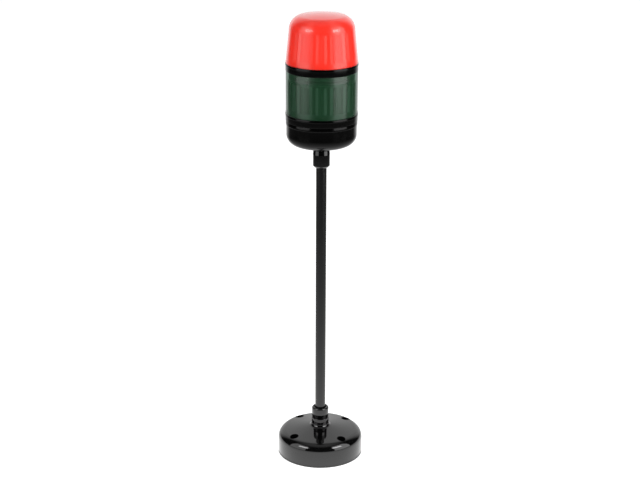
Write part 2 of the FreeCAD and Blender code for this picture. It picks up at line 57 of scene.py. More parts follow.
# ---- View -------------------------------------------------------------------------------
VIEW_AZIMUTH = 5.8          # degrees from -Y towards +X, where the camera stands
VIEW_PITCH = 18.94          # degrees that it looks down
VIEW_DISTANCE = 1.514       # from the pole's axis, level
VIEW_HEIGHT = 0.751
VIEW_ROLL = 0.27            # degrees
VIEW_SHIFT = -0.0016        # of the picture's width
LENS_MM = 90.0
SENSOR_MM = 36.0

# ---- Sizes of the smooth pieces, mm, the same as the solids' ------------------------------
SEGMENTS = 216
FINE = 0.4                  # rounding of the small moulded rims
SOFT = 0.15                 # rounding of edges that are sharp in the solids

gasket_width = 16.0
foot_radius = 43.7
foot_wall = 3.0
foot_draft = 0.3
foot_side_height = 13.6
foot_shoulder_radius = 9.1
foot_cone_angle = 8.5
foot_rib_thickness = 2.2
foot_rib_clearance = 6.0
foot_web_radius = 11.0
foot_web_depth = 8.6
foot_thread_web = 5.0
socket_floor_thickness = 4.0
socket_radius = 8.85
socket_wall = 1.45
socket_fillet = 3.6
fixing_edge_distance = 9.4
fixing_count = 4
fixing_hole_radius = 2.75
fixing_recess_radius = 4.4
fixing_floor = 6.6
fixing_boss_wall = 2.2

pole_radius = 5.25
pole_bore_radius = 4.25
thread_radius = 5.0
slip = 0.1

lower_sleeve_radius = 8.65
lower_sleeve_waist = 8.4
lower_sleeve_taper_height = 6.0
sleeve_rim_radius = 6.5
sleeve_rim_recess = 3.0
sleeve_edge_radius = 1.6
upper_sleeve_radius = 8.4
upper_sleeve_chamfer = 2.0
upper_flange_height = 4.7
upper_flange_radius = 8.5
upper_flange_top_radius = 8.1
upper_spigot_radius = 6.4
upper_spigot_height = 2.8

head_radius = 35.0
housing_inset = 0.5
housing_wall = 2.4
housing_edge_radius = 10.9
housing_underside_drop = 0.7
housing_rim_height = 3.8
neck_radius = 8.1
neck_top_radius = 7.6
neck_height = 3.8
neck_thread_web = 4.0
post_radius = 3.2
post_circle_radius = 20.6
post_angles = (30, 150, 270)
post_hole_radius = 1.25
post_hole_depth = 9.0

bayonet_count = 3
bayonet_bore_radius = 32.1
ledge_radius = 30.6
ledge_thickness = 2.0
ledge_below_rim = 3.9
entry_span = 20.0
lug_span = 14.0
lug_thickness = 2.0
twist_angle = 22.0
stop_span = 4.0
stop_margin = 1.2
run = 0.3
skirt_wall = 2.0
skirt_foot = 0.2
ledge_grip = 0.6            # reach of a ledge into its wall, so that the two join
seam = 0.2                  # from a rim to the module base above it

ring_height = 7.5
ring_proud = 0.25
ring_lip = 0.2
ring_lip_height = 2.4
module_floor_height = 1.8
module_floor_thickness = 2.5
spigot_height = 4.0
spigot_wall = 1.6
seal_land_height = 3.4
seal_groove_lip = 0.8
pin_hole_radius = 1.05
contact_radii = (9.6, 12.8, 16.0)
contact_angles = (90, 210, 330)
lens_wall = 2.0
lens_foot_bead = 0.25
lens_foot_bead_height = 1.6
prism_count = 36
prism_depth = 0.8
prism_margin = 5.0
prism_run_in = 0.05         # over which the straight lens's prisms begin
prism_end_share = 0.01      # of the dome's side, over which its prisms begin and end
socket_room = 1.0           # from a module's skirt to the floor of the lens socket below it
socket_land = 0.4
socket_slope = 1.2
dome_top_radius = 32.0
dome_shoulder_radius = 14.0
dome_shoulder_angle = 72.0
dome_crown_rise = 2.0

# ---- Lens finish ------------------------------------------------------------------------
FROSTED_BAND = 0.0065       # m, at the top of the straight lens
FROST_FADE = 0.003          # m, over which it begins
FROSTED_SHARE = 0.85        # of the band that is milky
OVER_THE_TOP = 1.0          # m, a height above every piece

# ---- Materials --------------------------------------------------------------------------
def new_material(name):
    """An empty node material with its Principled shader."""
    material = bpy.data.materials.new(name)
    material.use_nodes = True
    return material, material.node_tree.nodes["Principled BSDF"]


def add_node(owner, kind, **settings):
    """A node of a material or the world, with its settings and its plain input values."""
    node = owner.node_tree.nodes.new(kind)
    for key, value in settings.items():
        if key.startswith("in_"):
            node.inputs[key[3:].replace("_", " ")].default_value = value
        else:
            setattr(node, key, value)
    return node


def link(owner, source, target):
    owner.node_tree.links.new(source, target)


def object_coordinates(material, stretch=(1, 1, 1)):
    """Coordinates fixed to the piece, in metres, stretched along each axis."""
    place = add_node(material, "ShaderNodeTexCoord")
    mapping = add_node(material, "ShaderNodeMapping")
    mapping.inputs["Scale"].default_value = stretch
    link(material, place.outputs["Object"], mapping.inputs["Vector"])
    return mapping.outputs["Vector"]


def noise(material, vector, scale, detail=3.0, roughness=0.5):
    """Value noise at a scale per metre."""
    node = add_node(material, "ShaderNodeTexNoise", in_Scale=scale, in_Detail=detail, in_Roughness=roughness)
    link(material, vector, node.inputs["Vector"])
    return node.outputs["Fac"]


def remap(owner, value, low, high, start=0.0, end=1.0):
    """Turns a 0 to 1 value into another range."""
    node = add_node(owner, "ShaderNodeMapRange")
    link(owner, value, node.inputs["Value"])
    for key, number in (("From Min", start), ("From Max", end), ("To Min", low), ("To Max", high)):
        node.inputs[key].default_value = number
    return node.outputs["Result"]


def bump(material, shader, height, strength, distance):
    """Bump whose full height is distance, in metres."""
    node = add_node(material, "ShaderNodeBump", in_Strength=strength, in_Distance=distance)
    link(material, height, node.inputs["Height"])
    link(material, node.outputs["Normal"], shader.inputs["Normal"])
    return node


def moulded_plastic(name, colour, roughness, spread, grain_scale, grain_height, specular):
    """Moulded plastic: even colour, fine moulded grain and slightly uneven gloss."""
    material, shader = new_material(name)
    shader.inputs["Base Color"].default_value = (*colour, 1)
    shader.inputs["Specular IOR Level"].default_value = specular
    vector = object_coordinates(material)
    gloss = noise(material, vector, 160, 4.0)
    link(material, remap(material, gloss, roughness - spread, roughness + spread, 0.3, 0.7),
         shader.inputs["Roughness"])
    bump(material, shader, noise(material, vector, grain_scale, 2.0), 0.5, grain_height)
    return material


def painted_tube(name):
    """Gloss paint over a drawn tube: a long soft ripple and fine orange peel."""
    material, shader = new_material(name)
    shader.inputs["Base Color"].default_value = (0.002, 0.002, 0.0021, 1)
    shader.inputs["Specular IOR Level"].default_value = 0.6
    fine = noise(material, object_coordinates(material), 900, 2.0)
    link(material, remap(material, fine, 0.16, 0.24, 0.3, 0.7), shader.inputs["Roughness"])
    ripple = noise(material, object_coordinates(material, (1, 1, 0.15)), 260, 3.0)
    bump(material, shader, ripple, 0.4, 0.00004)
    return material


def rubber(name):
    """Dull black rubber with a fine powdery mottle."""
    material, shader = new_material(name)
    vector = object_coordinates(material)
    mottle = noise(material, vector, 700, 5.0)
    ramp = add_node(material, "ShaderNodeMix", data_type="RGBA")
    ramp.inputs["A"].default_value = (0.012, 0.012, 0.012, 1)
    ramp.inputs["B"].default_value = (0.03, 0.03, 0.03, 1)
    link(material, mottle, ramp.inputs["Factor"])
    link(material, ramp.outputs["Result"], shader.inputs["Base Color"])
    shader.inputs["Roughness"].default_value = 0.55
    bump(material, shader, noise(material, vector, 2500, 2.0), 0.4, 0.00003)
    return material


def metal(name, dark, light, roughness, scale):
    """Bare or plated metal: two close tones, uneven roughness and a fine turned grain."""
    material, shader = new_material(name)
    vector = object_coordinates(material)
    tone = noise(material, vector, scale, 4.0)
    ramp = add_node(material, "ShaderNodeMix", data_type="RGBA")
    ramp.inputs["A"].default_value = (*dark, 1)
    ramp.inputs["B"].default_value = (*light, 1)
    link(material, remap(material, tone, 0, 1, 0.3, 0.7), ramp.inputs["Factor"])
    link(material, ramp.outputs["Result"], shader.inputs["Base Color"])
    shader.inputs["Metallic"].default_value = 1.0
    link(material, remap(material, tone, roughness, roughness + 0.12, 0.3, 0.7), shader.inputs["Roughness"])
    grain = noise(material, object_coordinates(material, (1, 1, 6)), 1500, 2.0)
    bump(material, shader, grain, 0.3, 0.00002)
    return material


def mixed_with_clear(material, shader, tint, share):
    """Lets a tinted view through the shader. share, the part that is not clear, is a float or a socket."""
    clear = add_node(material, "ShaderNodeBsdfTransparent")
    clear.inputs["Color"].default_value = (*tint, 1)
    mix = add_node(material, "ShaderNodeMixShader")
    if isinstance(share, float):
        mix.inputs[0].default_value = share
    else:
        link(material, share, mix.inputs[0])
    link(material, clear.outputs["BSDF"], mix.inputs[1])
    link(material, shader.outputs["BSDF"], mix.inputs[2])
    link(material, mix.outputs["Shader"], material.node_tree.nodes["Material Output"].inputs["Surface"])


def maths(owner, operation, first, second):
    """A maths node's result from two values, each a socket or a float."""
    node = add_node(owner, "ShaderNodeMath", operation=operation)
    for value, target in zip((first, second), node.inputs):
        if isinstance(value, float):
            target.default_value = value
        else:
            link(owner, value, target)
    return node.outputs["Value"]


def lens_skin(name, tint, haze, haze_share, sheen, sheen_roughness, coat, frosted_above):
    """Polished outer face of a lens: a milky share of its plastic, which grows to the rim, and a clear rest.

    It is milky nearly all over from the height frosted_above, as round the straight lens's thick socket.
    """
    material, shader = new_material(name)
    vector = object_coordinates(material)
    shader.inputs["Base Color"].default_value = (*haze, 1)
    shader.inputs["Specular IOR Level"].default_value = sheen
    shader.inputs["Coat Weight"].default_value = coat
    shader.inputs["Roughness"].default_value = sheen_roughness
    link(material, remap(material, noise(material, vector, 140), 0.1, 0.16, 0.3, 0.7),
         shader.inputs["Coat Roughness"])
    facing = add_node(material, "ShaderNodeLayerWeight", in_Blend=0.5)
    rim = remap(material, facing.outputs["Facing"], haze_share, 1.0, 0.35, 0.8)
    height = add_node(material, "ShaderNodeSeparateXYZ")
    link(material, vector, height.inputs["Vector"])
    start = frosted_above - FROST_FADE
    frost = remap(material, height.outputs["Z"], 0.0, FROSTED_SHARE, start, frosted_above)
    side = add_node(material, "ShaderNodeNewGeometry")
    outside = remap(material, side.outputs["Backfacing"], 1.0, 0.0)
    share = maths(material, "MULTIPLY", maths(material, "MAXIMUM", rim, frost), outside)
    mixed_with_clear(material, shader, tint, share)
    return material


def lens_wall_plastic(name, tint, haze, haze_share, sheen, sheen_tint, sheen_roughness):
    """Ribbed inner faces of a lens, which scatter most of the light and let a tinted share through."""
    material, shader = new_material(name)
    cloud = noise(material, object_coordinates(material), 90)
    ramp = add_node(material, "ShaderNodeMix", data_type="RGBA")
    ramp.inputs["A"].default_value = (*[0.9 * part for part in haze], 1)
    ramp.inputs["B"].default_value = (*haze, 1)
    link(material, remap(material, cloud, 0, 1, 0.3, 0.7), ramp.inputs["Factor"])
    link(material, ramp.outputs["Result"], shader.inputs["Base Color"])
    shader.inputs["Roughness"].default_value = sheen_roughness
    shader.inputs["Specular IOR Level"].default_value = sheen
    shader.inputs["Specular Tint"].default_value = (*sheen_tint, 1)
    shader.inputs["Anisotropic"].default_value = 0.9
    shader.inputs["Anisotropic Rotation"].default_value = 0.25
    around = add_node(material, "ShaderNodeTangent", direction_type="RADIAL", axis="Z")
    link(material, around.outputs["Tangent"], shader.inputs["Tangent"])
    mixed_with_clear(material, shader, tint, haze_share)
    return material


def board_material(name):
    """White solder mask with a fine weave showing through."""
    material, shader = new_material(name)
    vector = object_coordinates(material)
    weave = add_node(material, "ShaderNodeTexWave", in_Scale=900.0, in_Distortion=1.0)
    link(material, vector, weave.inputs["Vector"])
    ramp = add_node(material, "ShaderNodeMix", data_type="RGBA")
    ramp.inputs["A"].default_value = (0.62, 0.66, 0.58, 1)
    ramp.inputs["B"].default_value = (0.68, 0.71, 0.64, 1)
    link(material, weave.outputs["Fac"], ramp.inputs["Factor"])
    link(material, ramp.outputs["Result"], shader.inputs["Base Color"])
    shader.inputs["Roughness"].default_value = 0.35
    bump(material, shader, weave.outputs["Fac"], 0.2, 0.00002)
    return material


def led_material(name, colour):
    """Clear resin over phosphor."""
    material, shader = new_material(name)
    tone = noise(material, object_coordinates(material), 1200, 2.0)
    ramp = add_node(material, "ShaderNodeMix", data_type="RGBA")
    ramp.inputs["A"].default_value = (*colour, 1)
    ramp.inputs["B"].default_value = (*[0.85 * part for part in colour], 1)
    link(material, tone, ramp.inputs["Factor"])
    link(material, ramp.outputs["Result"], shader.inputs["Base Color"])
    shader.inputs["Roughness"].default_value = 0.12
    return material


MATERIALS = {
    "gloss_black_plastic": moulded_plastic(
        "gloss_black", (0.002, 0.002, 0.0021), 0.07, 0.02, 500, 0.00001, 0.6),
    "black_plastic": moulded_plastic("satin_black", (0.0008, 0.0008, 0.0008), 0.14, 0.03, 3000, 0.00002, 0.2),
    "insulating_plastic": moulded_plastic(
        "grey_insulator", (0.02, 0.02, 0.021), 0.45, 0.05, 2500, 0.00003, 0.5),
    "white_plastic": moulded_plastic("white_carrier", (0.72, 0.72, 0.68), 0.4, 0.05, 2000, 0.00002, 0.5),
    "black_painted_tube": painted_tube("black_paint"),
    "seal_rubber": rubber("seal_rubber"),
    "zinc_steel": metal("zinc_plate", (0.5, 0.5, 0.52), (0.62, 0.62, 0.6), 0.25, 400),
    "brass": metal("brass", (0.62, 0.42, 0.16), (0.74, 0.55, 0.26), 0.2, 500),
    "circuit_board": board_material("solder_mask"),
    "green_led": led_material("green_led", (0.7, 0.75, 0.3)),
    "red_led": led_material("red_led", (0.8, 0.7, 0.55)),
    "green_lens_plastic": lens_wall_plastic("green_lens_wall", tint=(0.04, 0.3, 0.14),
                                            haze=(0.007, 0.04, 0.015), haze_share=0.9, sheen=0.8,
                                            sheen_tint=(0.75, 1.0, 0.85), sheen_roughness=0.5),
    "red_lens_plastic": lens_wall_plastic("red_lens_wall", tint=(0.98, 0.12, 0.06),
                                          haze=(1.0, 0.035, 0.018), haze_share=0.92, sheen=1.0,
                                          sheen_tint=(1.0, 0.9, 0.85), sheen_roughness=0.5),
}

SOCKET_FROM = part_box("green_lens")[1].z - FROSTED_BAND

SKINS = {
    "green_lens": lens_skin("green_lens_skin", tint=(0.8, 0.96, 0.88), haze=(0.005, 0.032, 0.012),
                            haze_share=0.55, sheen=0.45, sheen_roughness=0.38, coat=0.6,
                            frosted_above=SOCKET_FROM),
    "red_lens": lens_skin("red_lens_skin", tint=(1.0, 0.95, 0.93), haze=(1.0, 0.026, 0.013),
                          haze_share=0.5, sheen=0.4, sheen_roughness=0.3, coat=1.0,
                          frosted_above=OVER_THE_TOP),
}

SLOT_OF = {part["node"]: part["material_slot"] for part in frame["record"]["subparts"]}


def dress_frame():
    """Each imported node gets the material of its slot."""
    for name, obj in NODES.items():
        for place in obj.material_slots:
            place.material = MATERIALS[SLOT_OF[name]]


# ---- Drawing helpers --------------------------------------------------------------------
def low(node):
    """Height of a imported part's lowest point, mm."""
    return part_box(node)[0].z / MM


def high(node):
    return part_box(node)[1].z / MM


def arc(centre_r, centre_z, radius, start, end, steps=12):
    """Outline points of a round stretch, by its angles in degrees."""
    angles = [math.radians(start + (end - start) * i / steps) for i in range(steps + 1)]
    return [(centre_r + radius * math.cos(a), centre_z + radius * math.sin(a)) for a in angles]


def rounded(points):
    """A closed outline whose corners given as (r, z, radius) are turned into arcs."""
    result = []
    for index, point in enumerate(points):
        corner = Vector(point[:2])
        if len(point) == 2:
            result.append(corner)
            continue
        before = (Vector(points[index - 1][:2]) - corner).normalized()
        after = (Vector(points[(index + 1) % len(points)][:2]) - corner).normalized()
        half = before.angle(after) / 2
        centre = corner + (before + after).normalized() * point[2] / math.sin(half)
        spokes = [corner + side * point[2] / math.tan(half) - centre for side in (before, after)]
        start, end = [math.atan2(spoke.y, spoke.x) for spoke in spokes]
        turn = (end - start + math.pi) % (2 * math.pi) - math.pi
        steps = 4 if point[2] < 1 else 10
        for step in range(steps + 1):
            angle = start + turn * step / steps
            result.append(centre + point[2] * Vector((math.cos(angle), math.sin(angle))))
    return result


def lathe_mesh(outline, start=0.0, span=360.0, segments=SEGMENTS, radius_at=None, wall=(0, 0)):
    """Closed mesh of an outline turned about Z. radius_at may change a point's radius with the angle.

    The faces that start at the outline points from wall[0] up to wall[1] take the second material.
    """
    whole = span == 360.0
    count = max(3, round(segments * span / 360))
    builder = bmesh.new()
    rings = []
    for step in range(count if whole else count + 1):
        angle = start + span * step / count
        turn = math.radians(angle)
        rows = []
        for index, point in enumerate(outline):
            radius = radius_at(index, angle) if radius_at else point[0]
            place = (radius * math.cos(turn) * MM, radius * math.sin(turn) * MM, point[1] * MM)
            rows.append(builder.verts.new(place))
        rings.append(rows)
    size = len(outline)
    for step in range(count):
        here, there = rings[step], rings[(step + 1) % len(rings)]
        for index in range(size):
            after = (index + 1) % size
            face = builder.faces.new((here[index], there[index], there[after], here[after]))
            face.material_index = 1 if wall[0] <= index < wall[1] else 0
    if not whole:
        builder.faces.new(rings[0])
        builder.faces.new(rings[-1])
    bmesh.ops.remove_doubles(builder, verts=builder.verts, dist=1e-7)
    bmesh.ops.dissolve_degenerate(builder, edges=builder.edges, dist=1e-8)
    bmesh.ops.recalc_face_normals(builder, faces=builder.faces)
    mesh = bpy.data.meshes.new("lathe")
    builder.to_mesh(mesh)
    builder.free()
    return mesh


def rod_mesh(radius, bottom, top, distance=0.0, angle=0.0, segments=64):
    """Upright cylinder at a distance from the axis."""
    mesh = lathe_mesh([(0, bottom), (radius, bottom), (radius, top), (0, top)], segments=segments)
    turn = math.radians(angle)
    mesh.transform(Matrix.Translation(Vector((distance * math.cos(turn), distance * math.sin(turn), 0)) * MM))
    return mesh


def box_mesh(size, centre, angle=0.0):
    """Box turned about Z by an angle after it is placed."""
    builder = bmesh.new()
    bmesh.ops.create_cube(builder, size=1.0)
    place = Matrix.Translation(Vector(centre) * MM) @ Matrix.Diagonal((*[part * MM for part in size], 1))
    turn = Matrix.Rotation(math.radians(angle), 4, "Z")
    bmesh.ops.transform(builder, matrix=turn @ place, verts=builder.verts)
    mesh = bpy.data.meshes.new("box")
    builder.to_mesh(mesh)
    builder.free()
    return mesh


def joined(meshes):
    """One mesh of several."""
    builder = bmesh.new()
    for mesh in meshes:
        builder.from_mesh(mesh)
    result = bpy.data.meshes.new("joined")
    builder.to_mesh(result)
    builder.free()
    return result


def combined(mesh, tool, operation, overlaps=False):
    """Exact union or difference of closed meshes. Overlaps says that the tool's parts cross each other."""
    pair = [bpy.data.objects.new("pair", part) for part in (mesh, tool)]
    for obj in pair:
        bpy.context.scene.collection.objects.link(obj)
    change = pair[0].modifiers.new("combine", "BOOLEAN")
    change.operation = operation
    change.solver = "EXACT"
    change.use_self = overlaps
    change.object = pair[1]
    result = bpy.data.meshes.new_from_object(pair[0].evaluated_get(bpy.context.evaluated_depsgraph_get()))
    for obj in pair:
        bpy.data.objects.remove(obj)
    return result


def piece(name, mesh, node, sharp=28.0):
    """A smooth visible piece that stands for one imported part, with its body and finish."""
    obj = bpy.data.objects.new(name, mesh)
    bpy.context.scene.collection.objects.link(obj)
    mesh.polygons.foreach_set("use_smooth", [True] * len(mesh.polygons))
    mesh.set_sharp_from_angle(angle=math.radians(sharp))
    slot = SLOT_OF[node]
    if node in SKINS:
        mesh.materials[0] = SKINS[node]
        mesh.materials[1] = MATERIALS[slot]
    else:
        mesh.materials.clear()
        mesh.materials.append(MATERIALS[slot])
    colour = node.split("_")[0]
    body = colour + "_module" if colour in ("green", "red") else "tower"
    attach(obj, body)
    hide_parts(node)
    return obj


# ---- Foot -------------------------------------------------------------------------------
def spread(count, first=0.0):
    return [first + 360 * i / count for i in range(count)]


FIXING_ANGLES = spread(fixing_count, 45)


def cone_height(radius, inset=0.0):
    """Height of the foot's conical top at a radius, or of the roof inset below it."""
    slope = math.radians(foot_cone_angle)
    start = low("foot") + foot_side_height + (foot_shoulder_radius - inset) / math.cos(slope)
    return start + (foot_radius - foot_draft - foot_shoulder_radius - radius) * math.tan(slope)


def add_gasket():
    """Seal under the foot, with its four holes."""
    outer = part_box("foot_gasket")[1].x / MM
    inner = outer - gasket_width
    bottom, top = low("foot_gasket"), high("foot_gasket")
    seal = lathe_mesh(rounded([(inner, bottom), (outer, bottom, FINE), (outer, top), (inner, top)]))
    circle = foot_radius - fixing_edge_distance
    holes = joined([rod_mesh(fixing_hole_radius, bottom - 1, top + 1, circle, a) for a in FIXING_ANGLES])
    piece("gasket_smooth", combined(seal, holes, "DIFFERENCE"), "foot_gasket")


def foot_hollow(bottom, side_top, web_bottom):
    """The space under the foot, less the ribs and the screw bosses."""
    arc_radius = foot_radius - foot_draft - foot_shoulder_radius
    turn = 90 - foot_cone_angle
    space = lathe_mesh(rounded([
        (0, bottom - 1),
        (foot_radius - foot_draft - foot_wall, bottom - 1),
        *arc(arc_radius, side_top, foot_shoulder_radius - foot_wall, 0, turn),
        (foot_web_radius, cone_height(foot_web_radius, foot_wall), 0.8),
        (foot_web_radius, web_bottom, SOFT),
        (0, web_bottom),
    ]))
    circle = foot_radius - fixing_edge_distance
    boss = fixing_recess_radius + fixing_boss_wall
    length = circle - foot_web_radius + 0.5
    ribs = []
    for angle in FIXING_ANGLES:
        centre = (foot_web_radius - 0.5 + length / 2, 0, bottom + foot_rib_clearance + 20)
        ribs.append(box_mesh((length, foot_rib_thickness, 40), centre, angle))
        ribs.append(rod_mesh(boss, bottom - 2, bottom + 45, circle, angle, 96))
    return combined(space, joined(ribs), "DIFFERENCE", True)


def add_foot():
    """Moulded foot: round shoulder, low cone, socket with its fillet, screw recesses and open underside."""
    bottom, top = low("foot"), high("foot")
    side_top = bottom + foot_side_height
    arc_radius = foot_radius - foot_draft - foot_shoulder_radius
    web_bottom = cone_height(foot_web_radius) - foot_web_depth
    shoulder = web_bottom + foot_thread_web
    floor = shoulder + socket_floor_thickness
    bore = socket_radius - socket_wall
    fillet_r = socket_radius + socket_fillet
    fillet_z = cone_height(fillet_r) + socket_fillet / math.cos(math.radians(foot_cone_angle))
    body = lathe_mesh(rounded([
        (thread_radius + slip, bottom),
        (foot_radius, bottom, SOFT),
        *arc(arc_radius, side_top, foot_shoulder_radius, 0, 90 - foot_cone_angle, 24),
        *arc(fillet_r, fillet_z, socket_fillet, 270 - foot_cone_angle, 180),
        (socket_radius, top, FINE),
        (bore, top, SOFT),
        (bore, floor),
        (pole_radius + slip, floor),
        (pole_radius + slip, shoulder),
        (thread_radius + slip, shoulder),
    ]))
    body = combined(body, foot_hollow(bottom, side_top, web_bottom), "DIFFERENCE")
    circle = foot_radius - fixing_edge_distance
    seat = bottom + fixing_floor
    for radius, start, end in ((fixing_recess_radius, seat, top), (fixing_hole_radius, bottom - 1, seat + 1)):
        bores = joined([rod_mesh(radius, start, end, circle, a, 96) for a in FIXING_ANGLES])
        body = combined(body, bores, "DIFFERENCE")
    piece("foot_smooth", body, "foot")


# ---- Pole and sleeves -------------------------------------------------------------------
def add_pole():
    """Tube with a reduced, threaded length at each end."""
    bottom, top = low("pole"), high("pole")
    lower_shoulder = cone_height(foot_web_radius) - foot_web_depth + foot_thread_web
    upper_shoulder = low("base_housing") + upper_spigot_height + slip
    outline = rounded([
        (pole_bore_radius, bottom),
        (thread_radius, bottom, SOFT),
        (thread_radius, lower_shoulder),
        (pole_radius, lower_shoulder),
        (pole_radius, upper_shoulder),
        (thread_radius, upper_shoulder),
        (thread_radius, top, SOFT),
        (pole_bore_radius, top),
    ])
    piece("pole_smooth", lathe_mesh(outline), "pole")


def add_lower_sleeve():
    """Sleeve that stands in the foot's socket, with a rounded rim round the pole."""
    bottom, top = low("lower_pole_sleeve"), high("lower_pole_sleeve")
    seat = high("foot")
    spigot = socket_radius - socket_wall - slip
    outline = rounded([
        (pole_radius + slip, bottom),
        (spigot, bottom),
        (spigot, seat),
        (lower_sleeve_waist, seat, SOFT),
        (lower_sleeve_radius, seat + lower_sleeve_taper_height, 40.0),
        (lower_sleeve_radius, top, sleeve_edge_radius),
        (sleeve_rim_radius, top, SOFT),
        (sleeve_rim_radius, top - sleeve_rim_recess),
        (pole_radius + slip, top - sleeve_rim_recess),
    ])
    piece("lower_sleeve_smooth", lathe_mesh(outline), "lower_pole_sleeve")


def add_upper_sleeve():
    """Straight sleeve with a chamfered foot and a flange under the housing's neck."""
    bottom, top = low("upper_pole_sleeve"), high("upper_pole_sleeve")
    flange_top = low("neck_seal")
    flange_bottom = flange_top - upper_flange_height
    outline = rounded([
        (sleeve_rim_radius, bottom, SOFT),
        (upper_sleeve_radius, bottom + upper_sleeve_chamfer, 0.6),
        (upper_sleeve_radius, flange_bottom),
        (upper_flange_radius, flange_bottom),
        (upper_flange_top_radius, flange_top, FINE),
        (upper_spigot_radius, flange_top),
        (upper_spigot_radius, top),
        (pole_radius + slip, top),
        (pole_radius + slip, bottom + sleeve_rim_recess),
        (sleeve_rim_radius, bottom + sleeve_rim_recess),
    ])
    piece("upper_sleeve_smooth", lathe_mesh(outline), "upper_pole_sleeve")


# ---- Bayonet ----------------------------------------------------------------------------
def sector_mesh(inner, outer, bottom, top, start, span):
    """Part of a ring over a span of degrees."""
    return lathe_mesh([(inner, bottom), (outer, bottom), (outer, top), (inner, top)], start, span)


def ledge_meshes(rim, grip):
    """Inward ledges below a rim and the stops at the ends of the lugs' travel."""
    top = rim - ledge_below_rim
    bottom = top - ledge_thickness
    outer = bayonet_bore_radius + grip
    stop_bottom = bottom - run - lug_thickness
    meshes = []
    for gap in spread(bayonet_count):
        span = 360 / bayonet_count - entry_span
        meshes.append(sector_mesh(ledge_radius, outer, bottom, top, gap + entry_span / 2, span))
        locked = -twist_angle - lug_span / 2 - stop_margin - stop_span
        for start in (locked, lug_span / 2 + stop_margin):
            meshes.append(sector_mesh(ledge_radius, outer, stop_bottom, top - SOFT, gap + start, stop_span))
    return meshes


def lug_meshes(rim):
    """Outward lugs at the foot of a module's skirt, in their locked place."""
    top = rim - ledge_below_rim - ledge_thickness - run
    inner = ledge_radius - run - skirt_wall / 2
    start = -twist_angle - lug_span / 2
    return [sector_mesh(inner, bayonet_bore_radius - run, top - lug_thickness, top, gap + start, lug_span)
            for gap in spread(bayonet_count)]


# ---- Base housing -----------------------------------------------------------------------
def add_base_housing():
    """Cup with a round lower edge, its neck, the posts for the block and the bayonet socket."""
    bottom, top = low("base_housing"), high("base_housing")
    underside = bottom + neck_height + housing_underside_drop
    radius = head_radius - housing_inset
    edge = housing_edge_radius
    inner_edge = edge - housing_wall
    edge_r = radius - edge
    shoulder = bottom + upper_spigot_height + slip
    floor = shoulder + neck_thread_web
    body = lathe_mesh(rounded([
        (upper_spigot_radius + slip, bottom),
        (neck_radius, bottom, SOFT),
        (neck_top_radius, bottom + neck_height, 0.6),
        *arc(edge_r, underside + edge, edge, 270, 360, 24),
        (radius, top - housing_rim_height, 0.25),
        (head_radius, top - housing_rim_height + FINE, 0.25),
        (head_radius, top, FINE),
        (bayonet_bore_radius, top, SOFT),
        *arc(edge_r, floor + inner_edge, inner_edge, 360, 270),
        (thread_radius + slip, floor),
        (thread_radius + slip, shoulder),
        (upper_spigot_radius + slip, shoulder),
    ]))
    block = low("terminal_block")
    circle = post_circle_radius
    posts = [rod_mesh(post_radius, floor - housing_wall / 2, block, circle, a) for a in post_angles]
    body = combined(body, joined(posts + ledge_meshes(top, ledge_grip)), "UNION", True)
    holes = [rod_mesh(post_hole_radius, block - post_hole_depth, block + 1, circle, a) for a in post_angles]
    piece("base_housing_smooth", combined(body, joined(holes), "DIFFERENCE"), "base_housing")


# ---- Light modules ----------------------------------------------------------------------
def add_module_base(node, rim):
    """Connecting ring with its lip, floor, bayonet skirt, seal groove and lens spigot."""
    land = bayonet_bore_radius - run
    skirt = ledge_radius - run
    skirt_bottom = rim - ledge_below_rim - ledge_thickness - run - lug_thickness - skirt_foot
    ring_radius = head_radius + ring_proud
    lip = ring_radius + ring_lip
    ring_top = rim + ring_height
    lip_bottom = ring_top - ring_lip_height
    spigot = head_radius - lens_wall - slip
    floor_top = rim + module_floor_height + module_floor_thickness
    inner = skirt - skirt_wall
    body = lathe_mesh(rounded([
        (0, rim + module_floor_height),
        (inner, rim + module_floor_height),
        (inner, skirt_bottom, SOFT),
        (skirt, skirt_bottom, SOFT),
        (skirt, rim - seal_land_height),
        (land, rim - seal_land_height),
        (land, rim - seal_land_height + seal_groove_lip),
        (skirt, rim - seal_land_height + seal_groove_lip),
        (skirt, rim - seal_groove_lip),
        (land, rim - seal_groove_lip),
        (land, rim),
        (ring_radius, rim, FINE),
        (ring_radius, lip_bottom, 0.12),
        (lip, lip_bottom + ring_lip, 0.12),
        (lip, ring_top, FINE),
        (spigot, ring_top),
        (spigot, ring_top + spigot_height, SOFT),
        (spigot - spigot_wall, ring_top + spigot_height, SOFT),
        (spigot - spigot_wall, floor_top, 0.3),
        (0, floor_top),
    ]))
    body = combined(body, joined(lug_meshes(rim)), "UNION")
    pins = zip(contact_radii, contact_angles)
    holes = [rod_mesh(pin_hole_radius, rim, floor_top + 1, radius, angle, 32) for radius, angle in pins]
    piece(node + "_smooth", combined(body, joined(holes), "DIFFERENCE"), node)


def prism_radius(wide, depth, angle):
    """Radius of the lens's inner wall at an angle: straight faces between valleys and ridges."""
    step = 180 / prism_count
    index = math.floor(angle / step + 1e-6)
    near, far = (wide, wide - depth) if index % 2 == 0 else (wide - depth, wide)
    part = math.radians(angle - index * step)
    whole = math.radians(step)
    return near * far * math.sin(whole) / (near * math.sin(part) + far * math.sin(whole - part))


def lens_mesh(outline, depths, wall):
    """Lens turned about Z, whose inner points have prisms of the depths given."""
    def radius_at(index, angle):
        wide, depth = outline[index][0], depths[index]
        return prism_radius(wide, depth, angle) if depth else wide
    mesh = lathe_mesh(outline, radius_at=radius_at, wall=wall)
    mesh.materials.append(None)
    mesh.materials.append(None)
    return mesh


def lens_foot(base):
    """Lower outer edge of a lens, a small bead."""
    bead = head_radius + lens_foot_bead
    return [
        (bead, base, FINE),
        (bead, base + lens_foot_bead_height, 0.12),
        (head_radius, base + lens_foot_bead_height + 0.1),
    ]


